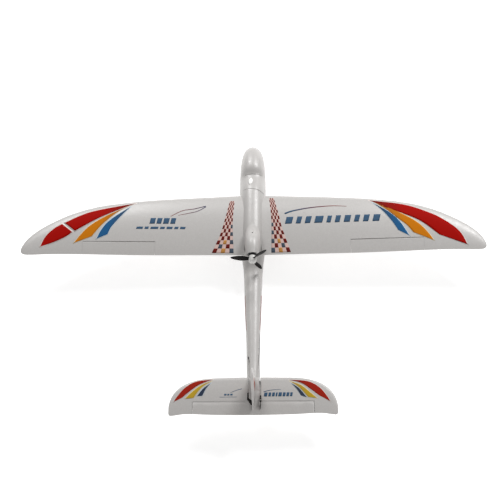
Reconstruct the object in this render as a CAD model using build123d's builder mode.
"""Electric foam sailplane with a pusher motor above the wing's trailing edge.

Millimetres. +Y points to the nose, +X to the right wing tip, +Z up. The origin lies on the flat
belly, under the middle of the bounding box.
"""
from build123d import *
from math import cos, pi, radians, sin, sqrt, tan
import os

os.makedirs("parts", exist_ok=True)

# Overall
HALF_SPAN = 700.5
NOSE_Y = 465.0
TAIL_Y = -465.0

# Wing
DIHEDRAL = 2.2
WING_Z = 80.0
ROOT_X = 27.0
WING_TE = 50.0
WING_CAMBER = 0.03
WING_THICKNESS = 0.11
TE_HALF = 0.6
# spanwise station, leading edge y, trailing edge y
WING_STATIONS = [
    (ROOT_X, 264, WING_TE), (150, 256, 49.5), (300, 245, 48), (400, 233.5, 48.5),
    (480, 218.5, 49.5), (550, 194.5, 50), (605, 165.5, 49.5), (650, 135, 47.5), (680, 106, 46.5),
    (694, 84, 49), (HALF_SPAN, 67, 56),
]

# Ailerons: hinged 3 mm under the top skin
AILERON_IN, AILERON_OUT = 296.0, 516.0
AILERON_HINGE_Y, AILERON_HINGE_V = 88.0, 4.8
AILERON_NOSE_R = 3.0
END_GAP = 0.35
HINGE_GAP = 0.4
AILERON_HINGES = (316, 446, 500)

# Tail
TAIL_Z = 79.0
TAIL_HALF = 237.5
ELEVATOR_HALF = 170.0
ELEVATOR_HINGE_Y = -428.5
ELEVATOR_NOSE_R = 3.0
ELEVATOR_DROP = 24.0
ELEVATOR_HINGES = (-140, -45, 45, 140)
STAB_STATIONS = [
    (0, -351, TAIL_Y), (110, -352, -463.5), (160, -358, -461), (193, -370.5, -460.5),
    (212, -384.5, -463), (226, -402, TAIL_Y), (234, -420, TAIL_Y), (TAIL_HALF, -437, -459),
]
FIN_TOP = 225.0
FIN_BASE = 79.0
RUDDER_HINGE_Y = -424.0
RUDDER_NOSE_R = 3.9
RUDDER_HINGES = (125, 195)
# height, leading edge y, trailing edge y
FIN_STATIONS = [
    (FIN_BASE, -342, -458), (130, -354, -460.5), (185, -370, -463), (212, -381, -464),
    (222, -390, -463), (FIN_TOP, -402, -458),
]

# Fuselage: y, half-width, bottom z, top z, z of the widest point
FUSELAGE_STATIONS = [
    (NOSE_Y, 7, 37, 56, 46), (462.5, 14.5, 30, 63.5, 47), (457, 20.5, 21, 71.5, 48),
    (446, 27.5, 12, 81, 50), (430, 32.7, 4.5, 89.5, 52), (404, 37.1, -1, 98.5, 55),
    (380, 39.1, -3, 102.5, 57), (362, 39.7, -3, 102.5, 58), (350, 40.0, -3, 99, 58),
    (340, 40.3, -3, 94.5, 58), (330, 40.5, -3, 94, 58), (312, 40.8, -3, 98.5, 59),
    (285, 41, -3, 106, 60), (250, 41, -3, 110, 60), (190, 41, -3, 112, 60),
    (130, 40, -3, 111, 59), (85, 37, -3, 103, 54), (58, 33.5, -3, 89, 46),
    (38, 30.8, -1.5, 72, 36), (20, 29, 1.5, 61.5, 32), (0, 28, 5, 59, 33),
    (-48, 26.4, 12, 61, 37), (-101, 24.8, 18.5, 63.5, 41), (-154, 23, 24.5, 66, 46),
    (-208, 20.8, 30, 69, 50), (-261, 19.4, 35, 71.5, 54), (-314, 18.8, 39.5, 74.5, 57),
    (-350, 17.5, 43, 77, 60), (-400, 13.5, 50, 77, 64), (-440, 9.5, 59, 77, 68),
    (-455, 7, 64, 76, 70),
]
WALL = 7.5
CAVITY_FRONT, CAVITY_REAR = 448.0, -320.0

# Canopy over the nose, parted from the fuselage on a level plane
CANOPY_FRONT, CANOPY_REAR, CANOPY_Z = 450.0, 339.0, 60.0
CANOPY_GAP = 0.3

# Motor and propeller
MOTOR_Z = 130.0
POD_REAR = 22.5
POD_STATIONS = [
    (POD_REAR, 17.6, 17.6, MOTOR_Z), (40, 19.8, 19.8, MOTOR_Z), (56, 21.5, 21.5, 129),
    (72, 22.5, 23.5, 124.5), (92, 23.5, 25.5, 113), (115, 24, 27, 96), (140, 24, 27, 84),
]
MOTOR_BORE_R = 15.5
MOTOR_BORE_FRONT = 63.5
BELL_R = 14.2
PROP_Y = 9.0
PROP_R = 65.7
BLADE_ANGLES = (172, 52, 292)
SPINNER_R = 11.5

# Linkages
ROD_R = 0.75
PIN_CLEARANCE = 0.06
HORN_RADIUS = 14.0
HORN_OFFSET = 4.0
HORN_T = 1.5
AILERON_HORN_RADIUS = 15.0
AILERON_SERVO = (405.0, 150.0, 4.0)
ELEVATOR_SERVO = Vector(12, 150, 31)
RUDDER_SERVO = Vector(2, 195, 42)
ELEVATOR_HORN_X = 17.0
RUDDER_HORN_Z = 94.0
ROD_BEND_Y, ROD_BEND_X, ROD_BEND_Z = -265.0, 12.0, 60.0
GUIDE_OUTER_R, GUIDE_BORE_R = 2.8, 2.3
GUIDE_FRONT, GUIDE_REAR = 118.0, -252.0
ROD_SLOT_R = 3.3

# Equipment
TRAY_Z, TRAY_T = 20.0, 2.5
TRAY_TOP = TRAY_Z + TRAY_T
BATTERY_SIZE = (34.0, 104.0, 26.0)
BATTERY_Y = 352.0
JOINER_Y, JOINER_Z, JOINER_R, JOINER_HALF = 190.0, 88.6, 4.0, 120.0
SPAR_R, SPAR_Y, SPAR_V, SPAR_IN, SPAR_OUT = 3.0, 178.0, 5.5, 130.0, 490.0

X_AXIS, Y_AXIS, Z_AXIS = Vector(1, 0, 0), Vector(0, 1, 0), Vector(0, 0, 1)
SPAN_AXIS = Vector(cos(radians(DIHEDRAL)), 0, sin(radians(DIHEDRAL)))
WING_UP = Vector(-sin(radians(DIHEDRAL)), 0, cos(radians(DIHEDRAL)))


def finish(builder, name):
    """Label a finished piece and write its STEP file."""
    builder.part.label = name
    export_step(builder.part, f"parts/{name}.step")


def mirrored(shape):
    """The left-hand copy of a right-hand piece."""
    return mirror(shape, about=Plane.YZ, mode=Mode.PRIVATE)


def wing_point(s, y, v):
    """A point of the right panel from distance along the span, y and height over the chord."""
    return Vector(0, y, WING_Z) + SPAN_AXIS * s + WING_UP * v


def wing_plane(s):
    """Plane across the right panel: local x runs forward, local y up."""
    return Plane(origin=wing_point(s, 0, 0), x_dir=Y_AXIS, z_dir=SPAN_AXIS)


def half_thickness(u, thickness):
    """Half thickness of a symmetric section at a fraction u of its chord."""
    root = 0.2969 * sqrt(u)
    return 5 * thickness * (root - 0.126 * u - 0.3516 * u**2 + 0.2843 * u**3 - 0.1036 * u**4)


def camber_line(u, camber):
    """Height of the camber line, highest at 40% of the chord."""
    if u < 0.4:
        return camber / 0.16 * (0.8 * u - u * u)
    return camber / 0.36 * (0.2 + 0.8 * u - u * u)


def section_points(leading, trailing, camber, thickness):
    """Outline from the upper trailing edge round the nose to the lower trailing edge."""
    chord = leading - trailing
    steps = [0.5 * (1 - cos(pi * i / 9)) for i in range(10)]
    te = min(TE_HALF, 0.04 * chord)
    upper, lower = [], []
    for u in steps:
        mid = camber_line(u, camber) * chord
        half = half_thickness(u, thickness) * chord + te * u
        upper.append((leading - u * chord, mid + half))
        lower.append((leading - u * chord, mid - half))
    return upper[::-1] + lower[1:]


def wing_section(leading, trailing, camber, thickness):
    """Airfoil face in its own plane: x along the chord, y up."""
    outline = section_points(leading, trailing, camber, thickness)
    with BuildSketch() as section:
        with BuildLine():
            Spline(*outline)
            Line(outline[-1], outline[0])
        make_face()
    return section.sketch


def refined(stations):
    """Stations with a point of a smooth curve between each pair."""
    padded = [stations[0], *stations, stations[-1]]
    result = []
    for before, start, end, after in zip(padded, padded[1:], padded[2:], padded[3:]):
        middle = [(9 * (b + c) - a - d) / 16 for a, b, c, d in zip(before, start, end, after)]
        result += [start, tuple(middle)]
    return result + [stations[-1]]


def lofted_surface(stations, plane_at, camber, thickness):
    """A wing or tail surface through its airfoil stations."""
    with BuildPart() as surface:
        for s, leading, trailing in refined(stations):
            with BuildSketch(plane_at(s)):
                add(wing_section(leading, trailing, camber, thickness))
        loft(ruled=True)
    return surface.part


def superellipse(width, height, power, angle):
    """Point of a superellipse quadrant at an angle from the widest point."""
    return (width * cos(angle) ** (2 / power), height * sin(angle) ** (2 / power))


def half_body(stations, inset=0.0):
    """Right half of the fuselage, lofted through its closed sections and split down the middle."""
    with BuildPart() as body:
        for y, width, bottom, top, middle in stations:
            below = [superellipse(width - inset, middle - bottom - inset, 2.6, radians(angle))
                     for angle in (22.5, 45, 67.5)]
            above = [superellipse(width - inset, top - middle - inset, 2.05, radians(angle))
                     for angle in (22.5, 45, 67.5)]
            right = [(x, middle - z) for x, z in below[::-1]] + [(width - inset, middle)]
            right += [(x, middle + z) for x, z in above]
            left = [(-x, z) for x, z in right]
            points = [left[3], *left[2::-1], (0, bottom + inset), *right, (0, top - inset),
                      *left[:3:-1]]
            with BuildSketch(Plane.XZ.offset(-y)):
                with BuildLine():
                    Spline(*points, periodic=True)
                make_face()
        loft()
        split(bisect_by=Plane.YZ, keep=Keep.TOP)
    return body.part


def swept_rod(radius, points, radii):
    """A round wire along straight runs joined by arcs."""
    with BuildPart() as rod:
        with BuildLine() as path:
            FilletPolyline(*points, radius=radii)
        with BuildSketch(Plane(origin=path.line @ 0, z_dir=path.line % 0)):
            Circle(radius)
        sweep()
    return rod.part


def straight_rod(radius, start, end):
    """A cylinder between two points."""
    along = end - start
    with BuildPart() as rod:
        with BuildSketch(Plane(origin=start, z_dir=along)):
            Circle(radius)
        extrude(amount=along.length)
    return rod.part


# Linkage pieces ------------------------------------------------------------------------------

SERVO_X0, SERVO_X1, SERVO_W = -6.0, 16.8, 12.2
SERVO_BOTTOM, SERVO_TOP = -26.5, -4.0
LUG_X0, LUG_X1, LUG_Z0, LUG_Z1 = -10.7, 21.5, -10.5, -8.0
LUG_HOLES = (-8.4, 19.2)


def servo_case(clearance=0.0):
    """Micro servo case and lugs: output shaft on +Z through the origin, arm at z = 0."""
    c = clearance
    with BuildPart() as case:
        with BuildSketch(Plane.XY.offset(SERVO_BOTTOM - c)):
            with Locations(((SERVO_X0 + SERVO_X1) / 2, 0)):
                Rectangle(SERVO_X1 - SERVO_X0 + 2 * c, SERVO_W + 2 * c)
        extrude(amount=SERVO_TOP - SERVO_BOTTOM + 2 * c)
        with BuildSketch(Plane.XY.offset(LUG_Z0 - c)):
            with Locations(((LUG_X0 + LUG_X1) / 2, 0)):
                Rectangle(LUG_X1 - LUG_X0 + 2 * c, SERVO_W + 2 * c)
        extrude(amount=LUG_Z1 - LUG_Z0 + 2 * c)
    return case.part


def servo_shape():
    """The servo with its gear boss, output spline and lug holes."""
    with BuildPart() as servo:
        add(servo_case())
        with BuildSketch(Plane.XY.offset(SERVO_TOP)):
            Circle(5.6)
            with Locations((7.2, 0)):
                Circle(3.0)
        extrude(amount=2.8)
        with BuildSketch(Plane.XY.offset(SERVO_TOP)):
            Circle(2.3)
        extrude(amount=6.4)
        with BuildSketch(Plane.XY.offset(LUG_Z0)):
            with Locations(*[(x, 0) for x in LUG_HOLES]):
                Circle(1.0)
        extrude(amount=LUG_Z1 - LUG_Z0, mode=Mode.SUBTRACT)
    return servo.part


def servo_screw_shape():
    """The two lug screws of one servo."""
    with BuildPart() as screws:
        for x in LUG_HOLES:
            with BuildSketch(Plane.XY.offset(LUG_Z1)):
                with Locations((x, 0)):
                    Circle(1.9)
            extrude(amount=1.2)
            with BuildSketch(Plane.XY.offset(LUG_Z1)):
                with Locations((x, 0)):
                    Circle(1.0)
            extrude(amount=-7.0)
    return screws.part


def arm_shape(reach):
    """Servo arm on the spline, with the rod's hole at its end on +X."""
    with BuildPart() as arm:
        with BuildSketch(Plane.XY.offset(-1.0)):
            Circle(3.6)
        extrude(amount=3.6)
        with BuildSketch(Plane.XY.offset(0.6)):
            Circle(3.4)
            with Locations((reach, 0)):
                Circle(2.2)
            make_hull()
        extrude(amount=HORN_T)
        with BuildSketch(Plane.XY.offset(-1.0)):
            Circle(2.3)
        extrude(amount=3.4, mode=Mode.SUBTRACT)
        with BuildSketch(Plane.XY.offset(-1.0)):
            with Locations((reach, 0)):
                Circle(ROD_R + PIN_CLEARANCE)
        extrude(amount=4.0, mode=Mode.SUBTRACT)
    return arm.part


def horn_shape(reach, base):
    """Control horn: +X runs aft, the rod's hole is at +Y, the foot enters the skin at +Y = base."""
    with BuildPart() as horn:
        with BuildSketch(Plane.XY.offset(-HORN_T / 2)):
            with Locations((0, reach)):
                Circle(2.6)
            with Locations((12.5, base)):
                Rectangle(13, 2.4)
            make_hull()
            with Locations((0, reach)):
                Circle(ROD_R + PIN_CLEARANCE, mode=Mode.SUBTRACT)
        extrude(amount=HORN_T)
        with BuildSketch(Plane.XY.offset(-HORN_T / 2)):
            with Locations((12.5, base - 2.2)):
                Rectangle(8, 2.4)
        extrude(amount=HORN_T)
    return horn.part


def clevis_shape():
    """Fork and barrel: the pin is on Z through the origin, the rod enters along +X."""
    with BuildPart() as clevis:
        with BuildSketch(Plane.XY.offset(-2.6)):
            SlotCenterToCenter(11, 4.4)
        extrude(amount=5.2)
        with BuildSketch(Plane.XY.offset(-1.1)):
            with Locations((-2, 0)):
                Rectangle(12.5, 8)
        extrude(amount=2.2, mode=Mode.SUBTRACT)
    with BuildPart() as placed:
        with Locations((3.8, 0, 0)):
            add(clevis.part)
        with BuildSketch(Plane.YZ.offset(10)):
            Circle(2.0)
        extrude(amount=8)
        with BuildSketch(Plane.YZ.offset(11)):
            Circle(ROD_R)
        extrude(amount=8, mode=Mode.SUBTRACT)
        with BuildSketch(Plane.XY.offset(-2.6)):
            Circle(ROD_R)
        extrude(amount=5.2)
    return placed.part


class Linkage:
    """Servo arm, rod, clevis and horn that stay a parallelogram through the whole travel."""

    def __init__(self, servo, hinge, axis, lever, aft, reach, base, servo_long):
        self.axis, self.lever, self.reach = axis, lever, reach
        self.servo_plane = Plane(origin=servo, x_dir=servo_long, z_dir=axis)
        self.arm_plane = Plane(origin=servo, x_dir=lever, z_dir=axis)
        self.side = HORN_OFFSET
        horn_z = aft.cross(lever)
        self.horn_plane = Plane(origin=hinge + axis * self.side, x_dir=aft, z_dir=horn_z)
        self.base = base
        self.arm_end = servo + lever * reach
        self.horn_hole = hinge + axis * self.side + lever * reach

    def rod_points(self, bends=()):
        """Pin through the arm, a right angle, any bends, and the end inside the clevis."""
        first = self.arm_end - self.axis * 0.4
        corner = self.arm_end + self.axis * self.side
        run = (bends[-1] if bends else corner) - self.horn_hole
        toward = (run - self.axis * run.dot(self.axis)).normalized()
        self.clevis_plane = Plane(origin=self.horn_hole, x_dir=toward, z_dir=self.axis)
        straight = [self.horn_hole + toward * 30] if bends else []
        return [first, corner, *bends, *straight, self.horn_hole + toward * 12]


aileron_link = Linkage(
    wing_point(*AILERON_SERVO), wing_point(AILERON_SERVO[0], AILERON_HINGE_Y, AILERON_HINGE_V),
    SPAN_AXIS, -WING_UP, -Y_AXIS, AILERON_HORN_RADIUS, 6.0, Y_AXIS)
elevator_link = Linkage(
    ELEVATOR_SERVO, Vector(ELEVATOR_HORN_X, ELEVATOR_HINGE_Y, TAIL_Z),
    X_AXIS, Z_AXIS, -Y_AXIS, HORN_RADIUS, 3.4, Y_AXIS)
rudder_link = Linkage(
    RUDDER_SERVO, Vector(0, RUDDER_HINGE_Y, RUDDER_HORN_Z),
    Z_AXIS, -X_AXIS, -Y_AXIS, HORN_RADIUS, 4.2, Y_AXIS)

aileron_rod_points = aileron_link.rod_points()
elevator_bend = Vector(ROD_BEND_X + HORN_OFFSET, ROD_BEND_Y, ROD_BEND_Z)
rudder_bend = Vector(-ROD_BEND_X, ROD_BEND_Y, ROD_BEND_Z)
elevator_rod_points = elevator_link.rod_points([elevator_bend])
rudder_rod_points = rudder_link.rod_points([rudder_bend])


# Pinned hinges ---------------------------------------------------------------------------------

KNUCKLE_R, HINGE_PIN_R, HINGE_BORE_R, LEAF_T = 1.1, 0.45, 0.5, 0.7
LEAF_LENGTH, LEAF_HALF, KNUCKLE_SPLIT, KNUCKLE_NOTCH_R = 11.0, 4.5, 1.5, 1.6


def fixed_leaf():
    """Leaf on the fixed side, toward +X, with the two outer knuckles; the pin runs on Z."""
    with BuildPart() as leaf:
        for z in (KNUCKLE_SPLIT, -LEAF_HALF):
            with BuildSketch(Plane.XY.offset(z)):
                Circle(KNUCKLE_R)
                with Locations((2, 0)):
                    Rectangle(4, LEAF_T)
                Circle(HINGE_PIN_R, mode=Mode.SUBTRACT)
            extrude(amount=LEAF_HALF - KNUCKLE_SPLIT)
        with BuildSketch(Plane.XY.offset(-LEAF_HALF)):
            with Locations((LEAF_LENGTH / 2 + 1, 0)):
                Rectangle(LEAF_LENGTH - 2, LEAF_T)
        extrude(amount=2 * LEAF_HALF)
    return leaf.part


def moving_leaf():
    """Leaf on the moving side, toward -X, with the middle knuckle."""
    half = KNUCKLE_SPLIT - 0.2
    with BuildPart() as leaf:
        with BuildSketch(Plane.XY.offset(-half)):
            Circle(KNUCKLE_R)
            with Locations((-2, 0)):
                Rectangle(4, LEAF_T)
            Circle(HINGE_BORE_R, mode=Mode.SUBTRACT)
        extrude(amount=2 * half)
        with BuildSketch(Plane.XY.offset(-LEAF_HALF)):
            with Locations((-LEAF_LENGTH / 2 - 1, 0)):
                Rectangle(LEAF_LENGTH - 2, LEAF_T)
        extrude(amount=2 * LEAF_HALF)
    return leaf.part


def hinge_pin():
    with BuildPart() as pin:
        with BuildSketch(Plane.XY.offset(-LEAF_HALF)):
            Circle(HINGE_PIN_R)
        extrude(amount=2 * LEAF_HALF)
    return pin.part


def hinge_notch():
    """Room in the moving foam for the knuckles and for the swing of the fixed leaf."""
    with BuildPart() as notch:
        with BuildSketch(Plane.XY.offset(-LEAF_HALF - 0.5)):
            Circle(KNUCKLE_NOTCH_R)
            with BuildLine():
                Polyline((0, 0.65), (5, 3.0), (5, -3.0), (0, -0.65), close=True)
            make_face()
        extrude(amount=2 * LEAF_HALF + 1)
    return notch.part


def placed(shape, planes):
    """Copies of a shape at several planes, as one part."""
    with BuildPart() as group:
        with Locations(*[plane.location for plane in planes]):
            add(shape)
    return group.part


aileron_hinge_planes = [
    Plane(wing_point(s, AILERON_HINGE_Y, AILERON_HINGE_V), x_dir=Y_AXIS, z_dir=SPAN_AXIS)
    for s in AILERON_HINGES]
elevator_hinge_planes = [
    Plane(Vector(x, ELEVATOR_HINGE_Y, TAIL_Z), x_dir=Y_AXIS, z_dir=X_AXIS)
    for x in ELEVATOR_HINGES]
rudder_hinge_planes = [
    Plane(Vector(0, RUDDER_HINGE_Y, z), x_dir=Y_AXIS, z_dir=Z_AXIS) for z in RUDDER_HINGES]

hinge_groups = {}
for surface, planes in (("aileron", aileron_hinge_planes), ("elevator", elevator_hinge_planes),
                        ("rudder", rudder_hinge_planes)):
    hinge_groups[surface] = {
        "fixed": placed(fixed_leaf(), planes), "moving": placed(moving_leaf(), planes),
        "pins": placed(hinge_pin(), planes), "notches": placed(hinge_notch(), planes)}

with BuildPart() as fixed_hinge_leaves:
    for group in hinge_groups.values():
        add(group["fixed"])
    add(mirrored(hinge_groups["aileron"]["fixed"]))
finish(fixed_hinge_leaves, "fixed_hinge_leaves")

with BuildPart() as hinge_pins:
    for group in hinge_groups.values():
        add(group["pins"])
    add(mirrored(hinge_groups["aileron"]["pins"]))
finish(hinge_pins, "hinge_pins")

with BuildPart() as aileron_hinge_leaves_right:
    add(hinge_groups["aileron"]["moving"])
finish(aileron_hinge_leaves_right, "aileron_hinge_leaves_right")

with BuildPart() as aileron_hinge_leaves_left:
    add(mirrored(hinge_groups["aileron"]["moving"]))
finish(aileron_hinge_leaves_left, "aileron_hinge_leaves_left")

with BuildPart() as elevator_hinge_leaves:
    add(hinge_groups["elevator"]["moving"])
finish(elevator_hinge_leaves, "elevator_hinge_leaves")

with BuildPart() as rudder_hinge_leaves:
    add(hinge_groups["rudder"]["moving"])
finish(rudder_hinge_leaves, "rudder_hinge_leaves")

# Servos, arms, rods, clevises and horns --------------------------------------------------------

servo = servo_shape()
servo_screws_pair = servo_screw_shape()
links = {"aileron": aileron_link, "elevator": elevator_link, "rudder": rudder_link}
rod_points = {"aileron": aileron_rod_points, "elevator": elevator_rod_points,
              "rudder": rudder_rod_points}
horns = {}
for surface, link in links.items():
    side = "_right" if surface == "aileron" else ""
    with BuildPart() as servo_body:
        with Locations(link.servo_plane.location):
            add(servo)
    with BuildPart() as servo_arm:
        with Locations(link.arm_plane.location):
            add(arm_shape(link.reach))
    with BuildPart() as pushrod:
        points = rod_points[surface]
        add(swept_rod(ROD_R, points, [1.2] + [14.0] * (len(points) - 3)))
    with BuildPart() as clevis:
        with Locations(link.clevis_plane.location):
            add(clevis_shape())
    with BuildPart() as horn:
        with Locations(link.horn_plane.location):
            add(horn_shape(link.reach, link.base))
    horns[surface] = horn.part
    pieces = (("servo", servo_body), ("servo_arm", servo_arm), ("pushrod", pushrod),
              ("clevis", clevis), ("horn", horn))
    for piece, builder in pieces:
        finish(builder, f"{surface}_{piece}{side}")
        if surface == "aileron":
            with BuildPart() as left_piece:
                add(mirrored(builder.part))
            finish(left_piece, f"aileron_{piece}_left")

with BuildPart() as servo_screws:
    for link in links.values():
        with Locations(link.servo_plane.location):
            add(servo_screws_pair)
    add(mirrored(placed(servo_screws_pair, [aileron_link.servo_plane])))
finish(servo_screws, "servo_screws")

# Wing ------------------------------------------------------------------------------------------

JOINER_WALL = 1.0
joiner_ends = [Vector(side * JOINER_HALF, JOINER_Y, JOINER_Z) for side in (-1, 1)]
with BuildPart() as wing_joiner:
    add(straight_rod(JOINER_R, *joiner_ends))
    add(straight_rod(JOINER_R - JOINER_WALL, *joiner_ends), mode=Mode.SUBTRACT)
finish(wing_joiner, "wing_joiner")
with BuildPart() as joiner_room:
    add(straight_rod(JOINER_R, *joiner_ends))

with BuildPart() as spar_right:
    add(straight_rod(SPAR_R, wing_point(SPAR_IN, SPAR_Y, SPAR_V),
                     wing_point(SPAR_OUT, SPAR_Y, SPAR_V)))
finish(spar_right, "spar_right")
with BuildPart() as spar_left:
    add(mirrored(spar_right.part))
finish(spar_left, "spar_left")

with BuildPart() as panel:
    add(lofted_surface(WING_STATIONS, wing_plane, WING_CAMBER, WING_THICKNESS))

aft_edge, low, high = WING_TE - 20, -30.0, 40.0
with BuildPart() as aileron_bay:
    front = AILERON_HINGE_Y + AILERON_NOSE_R + HINGE_GAP
    with BuildSketch(wing_plane(AILERON_IN)):
        with BuildLine():
            Polyline((aft_edge, low), (front, low), (front, high), (aft_edge, high), close=True)
        make_face()
    extrude(amount=AILERON_OUT - AILERON_IN)

BEVEL = radians(25)
with BuildPart() as aileron_region:
    nose_y = AILERON_HINGE_Y + AILERON_NOSE_R * cos(BEVEL)
    nose_v = AILERON_HINGE_V - AILERON_NOSE_R * sin(BEVEL)
    middle = (AILERON_HINGE_Y + AILERON_NOSE_R * cos(pi / 6),
              AILERON_HINGE_V + AILERON_NOSE_R * sin(pi / 6))
    crown = (AILERON_HINGE_Y, AILERON_HINGE_V + AILERON_NOSE_R)
    foot = (nose_y - (nose_v - low) * tan(BEVEL), low)
    with BuildSketch(wing_plane(AILERON_IN + END_GAP)):
        with BuildLine():
            Polyline(crown, (AILERON_HINGE_Y, high), (aft_edge, high), (aft_edge, low), foot,
                     (nose_y, nose_v))
            ThreePointArc((nose_y, nose_v), middle, crown)
        make_face()
    extrude(amount=AILERON_OUT - AILERON_IN - 2 * END_GAP)

ARM_SLOT_BACK, ARM_SLOT_FRONT, ARM_SLOT_TOP = -9.5, 9.5, 8.5
with BuildPart() as wing_servo_room:
    with Locations(aileron_link.servo_plane.location):
        add(servo_case())
        add(servo)
    servo_s, servo_y, servo_v = AILERON_SERVO
    with BuildSketch(wing_plane(servo_s - 27)):
        with Locations((servo_y + 5.4, servo_v - 10)):
            Rectangle(22.8, 20)
    extrude(amount=23)
    with BuildSketch(wing_plane(servo_s - 4.2)):
        with BuildLine():
            Polyline((servo_y + ARM_SLOT_BACK, low), (servo_y + ARM_SLOT_FRONT, low),
                     (servo_y + 5.6, ARM_SLOT_TOP), (servo_y - 5.6, ARM_SLOT_TOP), close=True)
        make_face()
    extrude(amount=10.0)
    with BuildSketch(wing_plane(servo_s - 10.5)):
        with Locations((servo_y + 5.4, servo_v - 10)):
            Rectangle(32.2, 20)
    extrude(amount=2.5)
    with Locations(aileron_link.servo_plane.location):
        add(servo_screws_pair)

with BuildPart() as wing_right:
    add(panel.part)
    for tool in (aileron_bay, wing_servo_room, joiner_room, spar_right):
        add(tool.part, mode=Mode.SUBTRACT)
    add(hinge_groups["aileron"]["fixed"], mode=Mode.SUBTRACT)
finish(wing_right, "wing_right")
with BuildPart() as wing_left:
    add(mirrored(wing_right.part))
finish(wing_left, "wing_left")

with BuildPart() as aileron_right:
    add(panel.part)
    add(aileron_region.part, mode=Mode.INTERSECT)
    for tool in (hinge_groups["aileron"]["moving"], hinge_groups["aileron"]["notches"],
                 horns["aileron"]):
        add(tool, mode=Mode.SUBTRACT)
finish(aileron_right, "aileron_right")
with BuildPart() as aileron_left:
    add(mirrored(aileron_right.part))
finish(aileron_left, "aileron_left")

# Tail ------------------------------------------------------------------------------------------

STAB_THICKNESS, FIN_THICKNESS = 0.07, 0.10


def stab_plane(s):
    return Plane(Vector(s, 0, TAIL_Z), x_dir=Y_AXIS, z_dir=X_AXIS)


def fin_plane(z):
    return Plane(Vector(0, 0, z), x_dir=Y_AXIS, z_dir=Z_AXIS)


with BuildPart() as tail_plane:
    add(lofted_surface(STAB_STATIONS, stab_plane, 0, STAB_THICKNESS))
    mirror(about=Plane.YZ)


def movable_region(plane, hinge_y, radius, width, reach=60.0):
    """Everything behind a hinge line, with a round nose about the hinge axis."""
    with BuildPart() as region:
        with BuildSketch(plane):
            with Locations((hinge_y - reach / 2, 0)):
                Rectangle(reach, 30)
            with Locations((hinge_y, 0)):
                Circle(radius)
        extrude(amount=width)
    return region.part


with BuildPart() as rod_slots:
    for points in (elevator_rod_points, rudder_rod_points):
        corner, bend, end = points[1:4]
        add(straight_rod(ROD_SLOT_R, bend + (corner - bend).normalized() * 14, bend))
        add(straight_rod(ROD_SLOT_R, bend, end))
        with Locations(bend):
            Sphere(ROD_SLOT_R)

with BuildPart() as stabilizer:
    add(tail_plane.part)
    add(movable_region(stab_plane(-ELEVATOR_HALF), ELEVATOR_HINGE_Y, ELEVATOR_NOSE_R + HINGE_GAP,
                       2 * ELEVATOR_HALF), mode=Mode.SUBTRACT)
    for tool in (hinge_groups["elevator"]["fixed"], rod_slots.part):
        add(tool, mode=Mode.SUBTRACT)
finish(stabilizer, "stabilizer")

with BuildPart() as elevator:
    add(tail_plane.part)
    add(movable_region(stab_plane(END_GAP - ELEVATOR_HALF), ELEVATOR_HINGE_Y, ELEVATOR_NOSE_R,
                       2 * (ELEVATOR_HALF - END_GAP)), mode=Mode.INTERSECT)
    for tool in (hinge_groups["elevator"]["moving"], hinge_groups["elevator"]["notches"],
                 horns["elevator"]):
        add(tool, mode=Mode.SUBTRACT)
finish(elevator, "elevator")

with BuildPart() as fin_whole:
    add(lofted_surface(FIN_STATIONS, fin_plane, 0, FIN_THICKNESS))

with BuildPart() as fin:
    add(fin_whole.part)
    add(movable_region(fin_plane(FIN_BASE - 1), RUDDER_HINGE_Y, RUDDER_NOSE_R + HINGE_GAP, 200),
        mode=Mode.SUBTRACT)
    for tool in (tail_plane.part, rod_slots.part, hinge_groups["rudder"]["fixed"]):
        add(tool, mode=Mode.SUBTRACT)
finish(fin, "fin")

RUDDER_FOOT_Z, RUDDER_FOOT_SLOPE = 82.5, 0.26
with BuildPart() as rudder:
    add(fin_whole.part)
    add(movable_region(fin_plane(FIN_BASE - 1), RUDDER_HINGE_Y, RUDDER_NOSE_R, 200),
        mode=Mode.INTERSECT)
    with BuildSketch(Plane.YZ.offset(-20)):
        front, back = RUDDER_HINGE_Y + 10, TAIL_Y - 10
        rise = (front - back) * RUDDER_FOOT_SLOPE
        with BuildLine():
            Polyline((front, 0), (front, RUDDER_FOOT_Z), (back, RUDDER_FOOT_Z + rise), (back, 0),
                     close=True)
        make_face()
    extrude(amount=40, mode=Mode.SUBTRACT)
    for tool in (hinge_groups["rudder"]["moving"], hinge_groups["rudder"]["notches"],
                 horns["rudder"]):
        add(tool, mode=Mode.SUBTRACT)
finish(rudder, "rudder")

# Motor and propeller ---------------------------------------------------------------------------


def turned(profile):
    """A turned piece about the motor axis from (distance behind, radius) points."""
    with BuildPart() as piece:
        with BuildSketch(Plane(Vector(0, 0, MOTOR_Z), x_dir=Y_AXIS, z_dir=X_AXIS)):
            with BuildLine():
                Polyline(*profile, close=True)
            make_face()
        revolve(axis=Axis((0, 0, MOTOR_Z), (0, 1, 0)))
    return piece.part


motor_face = Plane(Vector(0, 0, MOTOR_Z), x_dir=X_AXIS, z_dir=-Y_AXIS)
MOUNT_Y, SCREW_CIRCLE_R = 58.0, 9.5
with BuildPart() as motor_mount:
    add(turned([(MOUNT_Y, 3.5), (MOUNT_Y, 15.3), (MOUNT_Y + 3, 15.3), (MOUNT_Y + 3, 3.5)]))
    with BuildSketch(motor_face.offset(-MOUNT_Y)):
        with PolarLocations(SCREW_CIRCLE_R, 4, 45):
            Circle(1.3)
    extrude(amount=-3, mode=Mode.SUBTRACT)
finish(motor_mount, "motor_mount")

with BuildPart() as motor_screws:
    for radius, y, length in ((1.3, MOUNT_Y - 2.4, 5.4), (2.4, MOUNT_Y + 3, 1.2)):
        with BuildSketch(motor_face.offset(-y)):
            with PolarLocations(SCREW_CIRCLE_R, 4, 45):
                Circle(radius)
        extrude(amount=-length)
finish(motor_screws, "motor_screws")

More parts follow.
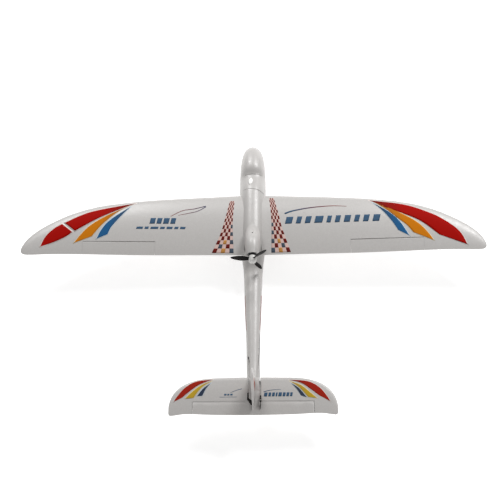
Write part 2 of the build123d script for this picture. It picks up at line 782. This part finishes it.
with BuildPart() as motor_stator:
    add(turned([(MOUNT_Y, 2.2), (MOUNT_Y, 12.5), (54, 12.5), (54, 5), (46, 5), (46, 12), (29, 12),
                (29, 5), (26.5, 5), (26.5, 1.66), (56, 1.66)]))
    with BuildSketch(motor_face.offset(-MOUNT_Y)):
        with PolarLocations(SCREW_CIRCLE_R, 4, 45):
            Circle(1.3)
    extrude(amount=2.4, mode=Mode.SUBTRACT)
finish(motor_stator, "motor_stator")

with BuildPart() as motor_bell:
    add(turned([(19, 0), (19, 5), (21.5, 5), (21.5, 11.5), (23.5, BELL_R), (50, BELL_R),
                (50, 12.7), (24.5, 12.7), (24.5, 1.6), (55, 1.6), (55, 0)]))
finish(motor_bell, "motor_bell")

blade_planes = []
for angle in BLADE_ANGLES:
    radial = Vector(cos(radians(angle)), 0, sin(radians(angle)))
    tangent = Vector(-sin(radians(angle)), 0, cos(radians(angle)))
    blade_planes.append((radial, tangent))
hub_centre = Vector(0, PROP_Y, MOTOR_Z)
# distance from the axis, chord, pitch angle
BLADE_STATIONS = [(5.5, 9, 34), (14, 11, 31), (27, 17, 22), (41, 18.5, 15.5), (54, 14, 12.5),
                  (62.5, 8, 11), (PROP_R, 3.2, 10)]
HUB_R, HUB_HALF = 7.5, 5.0


def chord_direction(tangent, pitch):
    return tangent * -cos(radians(pitch)) + Y_AXIS * sin(radians(pitch))


with BuildPart() as propeller:
    add(turned([(PROP_Y - HUB_HALF, 3.0), (PROP_Y - HUB_HALF, HUB_R), (PROP_Y + HUB_HALF, HUB_R),
                (PROP_Y + HUB_HALF, 3.0)]))
    for radial, tangent in blade_planes:
        with BuildPart(mode=Mode.PRIVATE) as blade:
            for distance, chord, pitch in BLADE_STATIONS:
                with BuildSketch(Plane(hub_centre + radial * distance,
                                       x_dir=chord_direction(tangent, pitch), z_dir=radial)):
                    add(wing_section(0.5 * chord, -0.5 * chord, 0.03, 0.13))
            loft()
        add(blade.part)
finish(propeller, "propeller")

with BuildPart() as prop_adapter:
    add(turned([(18.7, 5.2), (18.7, 6.5), (14, 6.5), (14, 3), (3.8, 3), (3.8, 5.5), (0, 5.5),
                (-1.5, 3), (-1.5, 0), (18.7, 0)]))
finish(prop_adapter, "prop_adapter")

with BuildPart() as spinner:
    add(turned([(17, 10.2), (17, SPINNER_R), (1, SPINNER_R), (-2.5, 9.5), (-4.2, 5.5), (-4.8, 0),
                (-3.4, 0), (-2.9, 5.2), (-1.4, 8.6), (1.5, 10.2)]))
    for radial, tangent in blade_planes:
        with BuildSketch(Plane(hub_centre + radial * 8.2,
                               x_dir=chord_direction(tangent, 34), z_dir=radial)):
            Rectangle(12.5, 4.6)
        extrude(amount=6, mode=Mode.SUBTRACT)
finish(spinner, "spinner")

# Equipment in the fuselage ---------------------------------------------------------------------

with BuildPart() as servo_rooms:
    for link in (elevator_link, rudder_link):
        with Locations(link.servo_plane.location):
            add(servo_case())
            add(servo)
            add(servo_screws_pair)

TRAY_REAR, TRAY_FRONT, TRAY_HALF = 122.0, 428.0, 25.0
with BuildPart() as equipment_tray:
    with BuildSketch(Plane.XY.offset(TRAY_Z)):
        with BuildLine():
            Polyline((-TRAY_HALF, TRAY_REAR), (TRAY_HALF, TRAY_REAR), (TRAY_HALF, 396),
                     (17, TRAY_FRONT), (-17, TRAY_FRONT), (-TRAY_HALF, 396), close=True)
        make_face()
        for x in (-20.5, 20.5):
            with Locations((x, BATTERY_Y)):
                SlotCenterToCenter(20, 2.6, rotation=90, mode=Mode.SUBTRACT)
    extrude(amount=TRAY_T)
    add(servo_rooms.part, mode=Mode.SUBTRACT)
finish(equipment_tray, "equipment_tray")

with BuildPart() as servo_cradle:
    with BuildSketch(Plane.XY.offset(TRAY_TOP)):
        with BuildLine():
            Polyline((-17, 132), (11, 132), (11, 222), (-7, 222), (-7, 178), (-17, 178), close=True)
        make_face()
    extrude(amount=9.0)
    add(servo_rooms.part, mode=Mode.SUBTRACT)
finish(servo_cradle, "servo_cradle")

with BuildPart() as battery:
    with Locations((0, BATTERY_Y, TRAY_TOP + BATTERY_SIZE[2] / 2)):
        Box(*BATTERY_SIZE)
    fillet(battery.edges().filter_by(Axis.Y), 4)
finish(battery, "battery")

STRAP_T, STRAP_HALF_W = 1.2, 9.0
with BuildPart() as battery_strap:
    with BuildSketch(Plane.XZ.offset(-BATTERY_Y - STRAP_HALF_W)):
        strap_low, strap_high = TRAY_Z - STRAP_T - 0.5, TRAY_TOP + BATTERY_SIZE[2] + STRAP_T
        with Locations((0, (strap_low + strap_high) / 2)):
            RectangleRounded(2 * 21.1, strap_high - strap_low, 1.6)
            RectangleRounded(2 * 19.9, strap_high - strap_low - 2 * STRAP_T, 0.4,
                             mode=Mode.SUBTRACT)
    extrude(amount=2 * STRAP_HALF_W)
finish(battery_strap, "battery_strap")

with BuildPart() as speed_controller:
    with Locations((0, 268, TRAY_TOP + 5)):
        Box(25, 52, 10)
    fillet(speed_controller.edges().filter_by(Axis.Y), 2)
finish(speed_controller, "speed_controller")

with BuildPart() as receiver:
    with Locations((-15.5, 222, TRAY_TOP + 6.5)):
        Box(15, 34, 13)
    fillet(receiver.edges().filter_by(Axis.Z), 1.2)
finish(receiver, "receiver")


def guide_span(points):
    """Ends of a guide tube on the long run of a rod."""
    corner, bend = points[1], points[2]
    run = bend - corner
    return [corner + run * ((y - corner.Y) / run.Y) for y in (GUIDE_FRONT, GUIDE_REAR)]


with BuildPart() as guide_rooms:
    for points in (elevator_rod_points, rudder_rod_points):
        add(straight_rod(GUIDE_OUTER_R, *guide_span(points)))
with BuildPart() as guide_bores:
    for points in (elevator_rod_points, rudder_rod_points):
        add(straight_rod(GUIDE_BORE_R, *guide_span(points)))
with BuildPart() as pushrod_guides:
    add(guide_rooms.part)
    add(guide_bores.part, mode=Mode.SUBTRACT)
finish(pushrod_guides, "pushrod_guides")

# Fuselage and canopy ---------------------------------------------------------------------------

with BuildPart() as body_outside:
    add(half_body(FUSELAGE_STATIONS))
    with BuildPart(mode=Mode.PRIVATE) as pod:
        for y, half_width, half_height, middle in POD_STATIONS:
            with BuildSketch(Plane.XZ.offset(-y)):
                with Locations((0, middle)):
                    Ellipse(half_width, half_height)
        loft()
        split(bisect_by=Plane.YZ, keep=Keep.TOP)
    add(pod.part)
    split(bisect_by=Plane.XY, keep=Keep.TOP)

with BuildPart() as cavity:
    add(half_body([s for s in FUSELAGE_STATIONS if CAVITY_REAR <= s[0] <= CAVITY_FRONT], WALL))

MAGNET_R, MAGNET_T = 2.4, 2.2
MAGNETS = ((35.8, 358), (30.2, 424))
with BuildPart() as canopy_magnets:
    with BuildSketch(Plane.XY.offset(CANOPY_Z + CANOPY_GAP)):
        with Locations(*[(side * x, y) for x, y in MAGNETS for side in (-1, 1)]):
            Circle(MAGNET_R)
    extrude(amount=MAGNET_T)
finish(canopy_magnets, "canopy_magnets")
with BuildPart() as fuselage_magnets:
    with BuildSketch(Plane.XY.offset(CANOPY_Z)):
        with Locations(*[(side * x, y) for x, y in MAGNETS for side in (-1, 1)]):
            Circle(MAGNET_R)
    extrude(amount=-MAGNET_T)
finish(fuselage_magnets, "fuselage_magnets")

# The catch: a lens-shaped plate on the sloping neck behind the canopy
CATCH_X, CATCH_Y, CATCH_Z, CATCH_SLOPE = -6.0, 306.0, 97.0, 17.5
with BuildPart() as canopy_catch:
    catch_up = Vector(0, sin(radians(CATCH_SLOPE)), cos(radians(CATCH_SLOPE)))
    with BuildSketch(Plane(Vector(CATCH_X, CATCH_Y, CATCH_Z), x_dir=X_AXIS, z_dir=catch_up)):
        with BuildLine():
            ThreePointArc((-2, -16), (-6.5, 1), (2, 16))
            ThreePointArc((2, 16), (6.5, -1), (-2, -16))
        make_face()
    extrude(amount=4.6)
    top_edges = canopy_catch.faces().sort_by(SortBy.AREA)[-2:].sort_by(Axis.Z)[-1].edges()
    fillet(top_edges, 1.4)
finish(canopy_catch, "canopy_catch")

with BuildPart() as canopy_opening:
    with Locations((0, CANOPY_REAR, CANOPY_Z)):
        Box(120, CANOPY_FRONT - CANOPY_REAR, 80, align=(Align.CENTER, Align.MIN, Align.MIN))
with BuildPart() as canopy_region:
    with Locations((0, CANOPY_REAR + CANOPY_GAP, CANOPY_Z + CANOPY_GAP)):
        Box(120, CANOPY_FRONT - CANOPY_REAR - 2 * CANOPY_GAP, 80,
            align=(Align.CENTER, Align.MIN, Align.MIN))

with BuildPart() as canopy:
    add(body_outside.part)
    add(cavity.part, mode=Mode.SUBTRACT)
    add(canopy_region.part, mode=Mode.INTERSECT)
    mirror(about=Plane.YZ)
    add(canopy_magnets.part, mode=Mode.SUBTRACT)
finish(canopy, "canopy")

with BuildPart() as motor_room:
    with BuildSketch(motor_face.offset(-MOTOR_BORE_FRONT)):
        Circle(MOTOR_BORE_R)
    extrude(amount=MOTOR_BORE_FRONT - POD_REAR + 10)
    add(straight_rod(5.0, Vector(0, 60, 128), Vector(0, 112, 88)))
    with BuildSketch(Plane.XY.offset(105)):
        with Locations((0, 97)):
            Circle(2.4)
    extrude(amount=40)

with BuildPart() as tail_seat:
    with Locations((0, ELEVATOR_HINGE_Y - 60, TAIL_Z)):
        Box(120, 134, 60, align=(Align.CENTER, Align.MIN, Align.MIN))
    with BuildSketch(Plane.YZ.offset(-20)):
        with BuildLine():
            Polyline((ELEVATOR_HINGE_Y + 6, TAIL_Z - 5), (ELEVATOR_HINGE_Y, TAIL_Z - 5),
                     (ELEVATOR_HINGE_Y - 60, TAIL_Z - 5 - 60 * tan(radians(ELEVATOR_DROP))),
                     (ELEVATOR_HINGE_Y - 60, TAIL_Z + 60), (ELEVATOR_HINGE_Y + 6, TAIL_Z + 60),
                     close=True)
        make_face()
    extrude(amount=40)

with BuildPart() as fuselage_right:
    add(body_outside.part)
    add(cavity.part, mode=Mode.SUBTRACT)
    for tool in (canopy_opening, motor_room, tail_seat, tail_plane, panel, joiner_room,
                 equipment_tray, battery_strap, guide_rooms, rod_slots, fuselage_magnets,
                 canopy_catch, fin):
        add(tool.part, mode=Mode.SUBTRACT)
finish(fuselage_right, "fuselage_right")

with BuildPart() as fuselage_left:
    add(mirrored(body_outside.part))
    add(mirrored(cavity.part), mode=Mode.SUBTRACT)
    for tool in (canopy_opening, motor_room, tail_seat, tail_plane, joiner_room, equipment_tray,
                 battery_strap, guide_rooms, rod_slots, fuselage_magnets, canopy_catch, fin):
        add(tool.part, mode=Mode.SUBTRACT)
    add(mirrored(panel.part), mode=Mode.SUBTRACT)
finish(fuselage_left, "fuselage_left")
